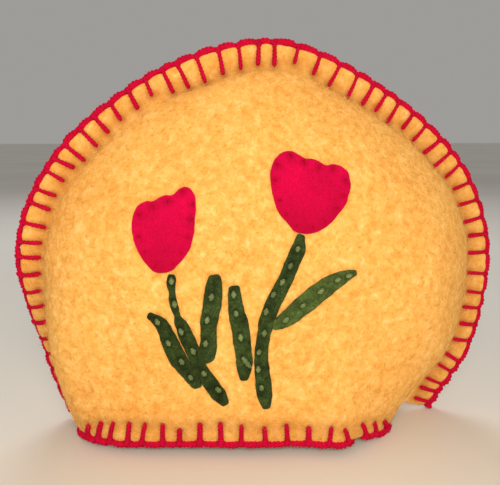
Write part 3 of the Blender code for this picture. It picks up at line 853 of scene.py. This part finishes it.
def tucked(line, at):
    """How far each point of a hem is tucked in under the felt: 1 at this length along it."""
    return np.exp(-(((np.arange(len(line)) * HEM_STEP - at) / TUCKED_LENGTH) ** 4))


def hem_yarn(name, stitches, line, surface, node, tuck):
    sides = {"front": surface, "back": surface}
    row = []
    for stitch in stitches:
        row += arm_strands(stitch, HEM_ARM_YARN, 0.0, sides, HEM_ARM_RADII)
    down = np.tile([0, 0, -1.0], (len(line), 1))
    at = [stitch["at"] for stitch in stitches]
    thickness = HEM_CORD * (1 - 0.6 * tuck)
    line = line + tuck[:, None] * TUCKED_IN * MM
    start = max(at[0] - STARTS_BEFORE, 0)
    end = min(at[-1] + RUNS_ON / HEM_STEP, len(line) - 1)
    row.append(cord_strand(line, down, at, thickness, (0, 0.3 * MM), start, end))
    yarn = laid_strands(name, row, crimson_yarn)
    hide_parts(node)
    flattened(yarn)
    return yarn


front_hem_yarn = hem_yarn(
    "front_hem_yarn", front_stitches, front_line, front_surface, "front_hem_stitching",
    tucked(front_line, TUCKED_AT),
)
back_hem_yarn = hem_yarn(
    "back_hem_yarn", back_stitches, back_line, back_surface, "back_hem_stitching", np.zeros(len(back_line)),
)

# %% [markdown]
# ## Felt flowers and leaves
# Each is cut by hand from thin felt and held by a few stitches, so it puffs up between them and dips where
# the thread pulls. The leaves show light green running stitches along the middle.

# %% Where the light stitches are
LEAF_STITCHES = {  # x, z in mm
    "left_stem": [(-61.9, 106), (-60.5, 93.5), (-57.4, 78.3), (-51.2, 67.2), (-45.4, 54), (-37.5, 44)],
    "left_outer_leaf": [(-69.8, 83.6), (-64.4, 71.8), (-57.4, 61), (-52.6, 51.5)],
    "left_inner_leaf": [(-41, 97), (-43.4, 84.5), (-44.5, 71.5)],
    "middle_leaf": [(-29, 98), (-27.8, 87.6), (-25.6, 74.5), (-22.3, 60)],
    "right_stem": [
        (7.2, 121), (2.9, 112), (-2, 103.5), (-7, 97), (-11.3, 88), (-12.6, 76.2), (-15.6, 65.7),
        (-16, 56), (-14, 44.7),
    ],
    "right_leaf": [(-0.5, 83), (9.5, 90.3), (19.6, 97.7), (29.5, 103.6), (36, 105.6)],
}
THREAD = 1.6 * MM        # its radius, most of which is sunk in the felt
THREAD_SHAPE = np.array([0.6, 0.9, 1.1, 0.9, 0.6])  # shares of that radius, from one end to the other
STITCH_LONG = 3.0 * MM
SLANTED = unit(np.array([5.0, -6.8]))  # the middle leaf's last stitch
SLANTED_LONG = 7.5 * MM
END_DEPTH = 0.9          # mm that a thread's ends are below the felt's face
SHOULDER = 0.6           # mm that it rises beside them
MIDDLE_DEPTH = 0.2       # mm that its middle is below the face


def on_face(surface, x, z):
    """The point and outward direction of a surface, or else of the panel, straight behind x, z."""
    hit, normal, _, _ = surface.ray_cast(Vector((x, -0.2, z)), Vector((0, 1, 0)))
    if hit is None:
        hit, normal, _, _ = front_surface.ray_cast(Vector((x, -0.2, z)), Vector((0, 1, 0)))
    return np.array(hit), np.array(normal)


def running_stitch(surface, middle, way, half):
    """The two ends of a stitch, and its thread, from its middle, its direction and half its length."""
    first, _ = on_face(surface, *(middle - way * half))
    last, _ = on_face(surface, *(middle + way * half))
    centre, normal = on_face(surface, *middle)
    a = first - normal * END_DEPTH * MM
    b = last - normal * END_DEPTH * MM
    rise = normal * SHOULDER * MM
    line = smoothed([a, a + rise, centre - normal * MIDDLE_DEPTH * MM, b + rise, b], 1)
    return [first, last], (line, THREAD_SHAPE * THREAD)


def dimpled(piece, places, depth, width, dimple_shade, shade=0.0):
    """Sinks the outer face round these places with painted shade in the dimples, and paints shade that grows
    towards the bottom by the share shade.
    """
    tree = near(places)
    points = points_of(piece)
    away = np.array([tree.find(p)[2] for p in points])
    front_side = normals_of(piece)[:, 1] < 0.2
    share = np.exp(-((away / width) ** 2)) * front_side
    points[:, 1] += depth * share
    move_to(piece, points)
    kept = piece.data.attributes.new("pressed", "FLOAT", "POINT")
    low, high = points[:, 2].min(), points[:, 2].max()
    # Painted shade that grows towards the bottom of the piece
    below = shade * smooth_step((0.85 * high + 0.15 * low - points[:, 2]) / (high - low))
    kept.data.foreach_set("value", np.maximum(dimple_shade * share, below).astype(np.float32))


def fattened(piece, amount, extra, below):
    """Widens an outline by an amount, and by some more below a height."""
    points = points_of(piece)
    normals = normals_of(piece)
    share = smooth_step((below - points[:, 2]) / (12 * MM))
    points[:, [0, 2]] += normals[:, [0, 2]] * (amount + extra * share)[:, None]
    move_to(piece, points)


def beaded(stem, stitches):
    """The upper stem is twisted, so it is wide at each stitch and narrow between two."""
    points = points_of(stem)
    centre = np.interp(-points[:, 2], -stitches[:, 1], stitches[:, 0])
    pitch = stitches[0, 1] - stitches[1, 1]
    wave = np.cos(2 * np.pi * (stitches[0, 1] - points[:, 2]) / pitch)
    share = smooth_step((points[:, 2] - 82 * MM) / (6 * MM))
    points[:, 0] = centre + (points[:, 0] - centre) * (1 + (0.155 * wave - 0.19) * share)
    move_to(stem, points)


# %% Leaves with their running stitches
SOFTENED_LOSS = 0.5 * MM  # what smoothing takes off an outline
LEAF_FELTS = {
    "left_stem": deep_green_felt, "left_outer_leaf": deep_green_felt, "right_leaf": pale_green_felt,
}
WIDER_BELOW = {"left_outer_leaf": 0.2 * MM, "left_inner_leaf": 1.2 * MM, "right_leaf": 0.3 * MM}
DRAWN_OUT = {  # a corner at x, 0, z in mm that reaches on to the stem, and by how much
    "left_outer_leaf": ((-48.5, 0, 55), (1.2, 0, 0.5)),
    "left_inner_leaf": ((-46, 0, 62), (-2.5, 0, -1.0)),
    "right_leaf": ((-7, 0, 80.5), (-2.0, 0, -0.3)),
}
for node, stitches in LEAF_STITCHES.items():
    leaf = cage_of(node, node + "_felt")
    soften(leaf)
    fattened(leaf, SOFTENED_LOSS, WIDER_BELOW.get(node, 0), 78 * MM)
    if node == "left_stem":
        beaded(leaf, np.array(stitches) * MM)
    if node in DRAWN_OUT:
        corner, change = DRAWN_OUT[node]
        points = points_of(leaf)
        move_to(leaf, points + bump(points * (1, 0, 1), corner, 7 * MM)[:, None] * change * MM)
    clouded(leaf, 6 * MM, 1.3 * MM)
    surface = surface_of(leaf)
    ends = []
    strands = []
    flat = np.array(stitches) * MM
    direction = unit(np.gradient(flat, axis=0))
    for middle, way in zip(flat, direction):
        half = STITCH_LONG * random.uniform(0.42, 0.58)
        if node == "middle_leaf" and middle[0] == flat[-1, 0]:
            way = SLANTED
            half = SLANTED_LONG / 2
        both_ends, strand = running_stitch(surface, middle, way, half)
        ends += both_ends
        strands.append(strand)
    # The leaves get painted shade in their dimples
    dimpled(leaf, ends, depth=1.0 * MM, width=1.9 * MM, dimple_shade=0.9)
    paint(leaf, LEAF_FELTS.get(node, green_felt))
    laid_strands(node + "_thread", strands, green_thread)

# %% [markdown]
# The tulips are held by small red stitches round their rim, about three millimetres in from the edge.
# Each stitch is hard to see, but the dimple that it makes shows as a dark dot of painted shade, and each
# tulip has painted shade that grows towards its bottom. Before they are sewn on, the rims are recut by a
# millimetre or two, so that each petal has its own tip.


# %% Tulips with stitches round their rims
RIM_INSET = 3.0 * MM
RIM_PITCH = 9.0 * MM
RIM_HALF = 1.0           # mm from a stitch's middle to its end
RIM_THREAD = np.array([0.25, 0.3, 0.3, 0.3, 0.25]) * MM
RIM_DEPTH = 0.7          # mm that a thread's ends are below the face
RECUTS = {  # mm that the rim moves out, every 15 degrees from the left, down and round
    "left_tulip": (
        -0.3, -1.0, -0.8, -0.5, -0.2, -0.2, -0.9, -1.2, -1.0, -0.6, -0.7, -1.6, -2.0, -2.3, -2.2, -0.8,
        0.8, -1.8, -0.8, -0.4, 0.6, 1.7, 1.4, 1.0, -0.3,
    ),
    "right_tulip": (
        -2.3, -1.4, -0.6, -1.1, -0.5, -0.4, -0.3, -0.4, 0.0, -0.3, -1.1, -0.8, -0.6, 1.5, 2.2, 0.8,
        -0.6, -0.8, -1.4, -0.4, 0.9, 1.3, 0.6, -1.2, -2.3,
    ),
}


def around_middle(piece):
    """The middle of a flower, each point's direction from it and reach, and the rim's, both in one table."""
    points = points_of(piece)
    middle = points.mean(axis=0)
    angle = np.arctan2(points[:, 2] - middle[2], points[:, 0] - middle[0])
    reach = np.hypot(points[:, 2] - middle[2], points[:, 0] - middle[0])
    around = np.linspace(-math.pi, math.pi, 73)
    rim = []
    for low, high in zip(around, around[1:]):
        inside = (angle >= low) & (angle < high)
        rim.append([(low + high) / 2, reach[inside].max()])
    return middle, angle, reach, np.array(rim)


def recut(piece, changes):
    """Moves the rim of a flower out by these amounts, and less what is further in."""
    middle, angle, reach, rim = around_middle(piece)
    share = smooth_step((reach / np.interp(angle, rim[:, 0], rim[:, 1]) - 0.5) / 0.45)
    out = np.interp(angle, np.linspace(-math.pi, math.pi, len(changes)), changes) * MM * share
    points = points_of(piece)
    points[:, 0] += np.cos(angle) * out
    points[:, 2] += np.sin(angle) * out
    move_to(piece, points)


for node, changes in RECUTS.items():
    tulip = cage_of(node, node + "_felt")
    soften(tulip)
    fattened(tulip, SOFTENED_LOSS, 0, 0)
    recut(tulip, changes)
    clouded(tulip, 6 * MM, 0.5 * MM)
    middle, _, _, rim = around_middle(tulip)
    directions = np.stack([np.cos(rim[:, 0]), np.sin(rim[:, 0])], axis=1)
    outline = middle[[0, 2]] + (rim[:, 1:] - RIM_INSET) * directions
    line, places = resampled(np.vstack([outline, outline[:1]]), 0.5 * MM)
    surface = surface_of(tulip)
    ends = []
    strands = []
    for place in np.arange(0, places[-1] - RIM_PITCH / 2, RIM_PITCH):
        k = int(np.searchsorted(places, place + random.uniform(-0.8, 0.8) * MM)) % len(line)
        x, z = line[k]
        inward = unit(middle[[0, 2]] - line[k]) * RIM_HALF * MM
        a, normal = on_face(surface, x - inward[0], z - inward[1])
        b, _ = on_face(surface, x + inward[0], z + inward[1])
        sunk = normal * RIM_DEPTH * MM
        ends.append((a + b) / 2)
        strands.append((np.array([a - sunk, a, (a + b) / 2, b, b - sunk]), RIM_THREAD))
    # The tulips get painted shade in their dimples and towards their bottom
    dimpled(tulip, ends, depth=0.9 * MM, width=2.7 * MM, dimple_shade=0.55, shade=0.6)
    paint(tulip, red_felt)
    laid_strands(node + "_thread", strands, red_thread)

# %% [markdown]
# ## Fuzz
# Loose fibre ends stand off felt and yarn, and they are what makes an edge look woolly. One fibre is a thin
# three-sided spike with a bend half way. It is modelled once, and thousands of copies are bent and laid at
# random on a surface, as one mesh.

# %% One fibre
bpy.ops.object.select_all(action="DESELECT")
bpy.ops.mesh.primitive_cone_add(vertices=3, radius1=1, radius2=0, depth=1, location=(0, 0, 0.5))
bpy.ops.object.transform_apply(location=True)
bpy.ops.object.mode_set(mode="EDIT")
bpy.ops.mesh.select_all(action="SELECT")
bpy.ops.mesh.bisect(plane_co=(0, 0, 0.5), plane_no=(0, 0, 1))
bpy.ops.object.mode_set(mode="OBJECT")
fibre = bpy.context.object
fibre_points = points_of(fibre)
fibre_faces = [tuple(face.vertices) for face in fibre.data.polygons]
bpy.data.objects.remove(fibre)
print("a fibre has", len(fibre_faces), "faces")


FIBRE_RADIUS = 0.08 * MM
ROOT_DEPTH = 0.25        # mm that a fibre starts below the surface


def fuzz(name, source, count, length, lift, material, keep=None):
    """Lays fibres over the outside of a piece; keep chooses faces by their middle and normal."""
    faces = source.data.polygons
    centres = np.array([f.center for f in faces])
    normals = np.array([f.normal for f in faces])
    areas = np.array([f.area for f in faces])
    if keep is not None:
        areas = areas * keep(centres, normals)
    chosen = random.choice(len(areas), size=count, p=areas / areas.sum())
    root = centres[chosen] + random.normal(0, 0.5 * MM, (count, 3))
    normal = normals[chosen]
    root -= normal * np.sum((root - centres[chosen]) * normal, axis=1, keepdims=True)
    side = unit(np.cross(normal, unit(random.normal(size=(count, 3)))))
    turn = unit(np.cross(normal, side) + random.normal(0, 0.4, (count, 3)))
    long = length * random.uniform(0.45, 1.4, (count, 1))
    rise = lift * random.uniform(0.3, 1.6, (count, 1))
    curl = random.uniform(-0.5, 0.5, (count, 1))
    along = fibre_points[:, 2][None, :, None]
    bend = root[:, None] - normal[:, None] * ROOT_DEPTH * MM
    bend = bend + long[:, None] * along * side[:, None]
    bend = bend + long[:, None] * (rise[:, None] * along * (1.35 - 0.6 * along)) * normal[:, None]
    bend = bend + long[:, None] * curl[:, None] * along**2 * turn[:, None]
    across = fibre_points[:, 0][None, :, None] * turn[:, None]
    across = across + fibre_points[:, 1][None, :, None] * normal[:, None]
    points = (bend + across * FIBRE_RADIUS).reshape(-1, 3)
    points[:, 2] = np.maximum(points[:, 2], LOWEST)
    step = len(fibre_points)
    mesh = bpy.data.meshes.new(name)
    mesh.from_pydata(points.tolist(), [], [
        tuple(n * step + k for k in face) for n in range(count) for face in fibre_faces
    ])
    pile = bpy.data.objects.new(name, mesh)
    bpy.context.scene.collection.objects.link(pile)
    only(pile)
    bpy.ops.object.mode_set(mode="EDIT")
    bpy.ops.mesh.select_all(action="SELECT")
    bpy.ops.mesh.normals_make_consistent(inside=False)
    bpy.ops.object.mode_set(mode="OBJECT")
    paint(pile, material)
    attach(pile, "root")
    print(name, len(mesh.polygons), "faces")


# %% [markdown]
# Fibres are paler than the felt that they come from, because light passes through them. The inside of the
# cosy is hardly seen, so only the outside is fuzzy.

# %% Lay the fuzz
pale_fibre, shader = new_material("loose_wool_fibre_yellow", 0.8, 0.3, "#FFF0C8")
tone = noise(pale_fibre, 4 * MM, 2)
pale_fibre.node_tree.links.new(
    ramp(pale_fibre, tone, [(0.3, "#E9AE55"), (0.55, "#F8C871"), (0.75, "#FFE0A0")]),
    shader.inputs["Base Color"],
)
crimson_fibre, shader = new_material("loose_wool_fibre_crimson", 0.8, 0.3, "#FF9AAA")
tone = noise(crimson_fibre, 4 * MM, 2)
crimson_fibre.node_tree.links.new(
    ramp(crimson_fibre, tone, [(0.3, "#B3062C"), (0.7, "#E62A50")]), shader.inputs["Base Color"]
)


cord_tree = near(np.vstack([seam_edge, front_line, back_line, applied_points]))
CLEAR = 6 * MM           # of the cords and of what is sewn on


def outside(centres, normals):
    """1 for a face on the outside of the cosy and clear of its cords and flowers, and 0 for another."""
    middle = np.array([0, 0, 60 * MM])
    away = unit((centres - middle) * (0.25, 1, 0.4))
    clear = np.array([cord_tree.find(p)[2] > CLEAR for p in centres])
    return (clear & (np.sum(away * normals, axis=1) > 0.1)).astype(float)


fuzz("front_fuzz", front, 9000, 3.6 * MM, 0.4, pale_fibre, outside)
fuzz("back_fuzz", back, 8000, 3.6 * MM, 0.4, pale_fibre, outside)
fuzz("seam_fuzz", seam_yarn, 3500, 2.8 * MM, 0.6, crimson_fibre)
fuzz("front_hem_fuzz", front_hem_yarn, 1200, 2.4 * MM, 0.5, crimson_fibre)
fuzz("back_hem_fuzz", back_hem_yarn, 1200, 2.4 * MM, 0.5, crimson_fibre)

# %% [markdown]
# ## Floor and light
# A pale floor runs on to the horizon. The main light is one warm lamp in front, a little to the left and
# not far above the cosy. A weak lamp on the right keeps that side from going dark, one from behind rims the
# top edge, and a pale sky fills in the rest.

# %% Floor, lights and world
bpy.ops.object.select_all(action="DESELECT")
bpy.ops.mesh.primitive_plane_add(size=40, location=(0, 0, 0))
floor = bpy.context.object
floor.name = "floor"
pale_floor, shader = new_material("pale_painted_board", 0.6)
tone = noise(pale_floor, 0.6, 2)
pale_floor.node_tree.links.new(
    ramp(pale_floor, tone, [(0.3, "#DDD9D2"), (0.7, "#E6E3DD")]), shader.inputs["Base Color"]
)
paint(floor, pale_floor)


def area_light(name, place, target, size, power, colour):
    bpy.ops.object.light_add(type="AREA", location=place)
    light = bpy.context.object
    light.name = name
    light.data.size = size
    light.data.energy = power
    light.data.color = linear(colour)[:3]
    light.rotation_euler = (Vector(target) - Vector(place)).to_track_quat("-Z", "Y").to_euler()


# Each light's name, place, target, size in metres, power in watts and colour
area_light("key_light", (-0.1, -0.63, 0.32), (-0.01, 0, 0.11), 0.3, 4.7, "#FFF2DC")
area_light("fill_light", (0.9, -0.9, 0.6), (0, 0, 0.1), 0.9, 0.4, "#FFF7EC")
area_light("rim_light", (0.1, 1.0, 1.1), (0, 0, 0.12), 0.8, 7, "#FFFFFF")
world = bpy.data.worlds.new("studio")
bpy.context.scene.world = world
world.use_nodes = True
world.node_tree.nodes["Background"].inputs["Color"].default_value = linear("#F4F1EC")
world.node_tree.nodes["Background"].inputs["Strength"].default_value = 0.38
bpy.context.scene.view_settings.view_transform = "Standard"
